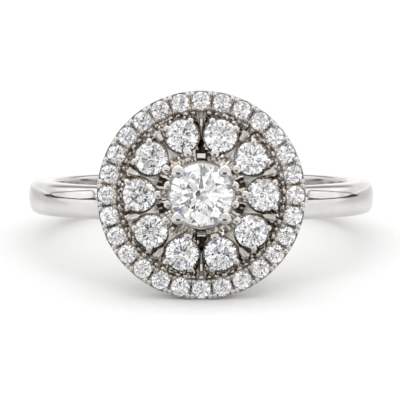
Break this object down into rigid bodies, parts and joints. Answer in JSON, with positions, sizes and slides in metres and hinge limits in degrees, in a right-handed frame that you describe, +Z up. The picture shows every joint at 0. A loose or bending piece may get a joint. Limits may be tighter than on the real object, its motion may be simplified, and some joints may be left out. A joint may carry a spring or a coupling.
{
  "type": "halo cocktail ring",
  "caption": "Finger ring: a plain domed band with a round flat head, where a large prong-set stone sits in a ring of cup-set stones and an outer halo of small bead-set stones.",
  "frame": {"origin": "middle of the ring's bounding box, on the surface that the ring lies on", "axes": "+Z up, -Y towards the side that the head faces, +X to the right seen from the head's side; the finger's line leans back from +Z by the rest tilt of 11.0 degrees"},
  "size_m": [0.0202, 0.0233, 0.0114],
  "materials": {
    "white_gold": "polished white metal",
    "diamond": "cut and polished clear stone"
  },
  "bodies": {
    "root": {"mounting": "white_gold", "centre_stone": "diamond", "cluster_stone_01": "diamond", "cluster_stone_02": "diamond", "cluster_stone_03": "diamond", "cluster_stone_04": "diamond", "cluster_stone_05": "diamond", "cluster_stone_06": "diamond", "cluster_stone_07": "diamond", "cluster_stone_08": "diamond", "cluster_stone_09": "diamond", "cluster_stone_10": "diamond", "halo_stone_01": "diamond", "halo_stone_02": "diamond", "halo_stone_03": "diamond", "halo_stone_04": "diamond", "halo_stone_05": "diamond", "halo_stone_06": "diamond", "halo_stone_07": "diamond", "halo_stone_08": "diamond", "halo_stone_09": "diamond", "halo_stone_10": "diamond", "halo_stone_11": "diamond", "halo_stone_12": "diamond", "halo_stone_13": "diamond", "halo_stone_14": "diamond", "halo_stone_15": "diamond", "halo_stone_16": "diamond", "halo_stone_17": "diamond", "halo_stone_18": "diamond", "halo_stone_19": "diamond", "halo_stone_20": "diamond", "halo_stone_21": "diamond", "halo_stone_22": "diamond", "halo_stone_23": "diamond", "halo_stone_24": "diamond", "halo_stone_25": "diamond", "halo_stone_26": "diamond", "halo_stone_27": "diamond", "halo_stone_28": "diamond"}
  },
  "joints": []
}
